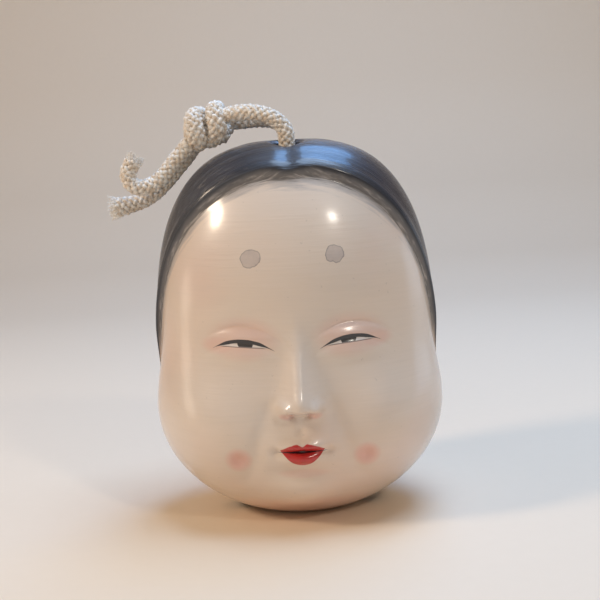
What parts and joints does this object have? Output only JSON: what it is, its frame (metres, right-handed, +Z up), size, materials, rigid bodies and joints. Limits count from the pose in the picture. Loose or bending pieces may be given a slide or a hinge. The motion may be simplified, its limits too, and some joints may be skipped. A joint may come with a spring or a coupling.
{
  "type": "clay bell in the form of a mask face",
  "caption": "Small glazed clay bell shaped as a round-cheeked mask face, with a loose pellet, a sound slot in the foot and a knotted braided hanging cord.",
  "frame": {"origin": "on the floor, under the middle of the bell", "axes": "+Z up through the crown, -Y the way the face looks, +X to the right of someone looking at the face"},
  "size_m": [0.0552, 0.0416, 0.0714],
  "materials": {
    "face_glaze": "glossy creamy glaze with painted features, satin black hair",
    "hair_glaze": "satin black glaze with fine brushed strands",
    "slip": "matte fired slip",
    "raw_clay": "matte unglazed clay",
    "cord": "soft off-white braid"
  },
  "bodies": {
    "bell": {"front_shell": "face_glaze", "back_shell": "hair_glaze", "luting_slip": "slip", "cord_bight": "cord"},
    "pellet": {"clay_pellet": "raw_clay"},
    "cord_loop": {"cord_front_leg": "cord", "cord_rear_leg": "cord", "cord_knot": "cord", "cord_front_tail": "cord", "cord_rear_tail": "cord"}
  },
  "joints": [
    {"name": "cord_swing", "type": "hinge", "parent": "bell", "child": "cord_loop", "pos_m": [0, 0, 0.0649], "axis": [0, 1, 0], "range_deg": [0, 70]},
    {"name": "pellet_roll", "type": "hinge", "parent": "bell", "child": "pellet", "pos_m": [0, 0, 0.026], "axis": [0, 1, 0], "range_deg": [-38, 38]}
  ]
}
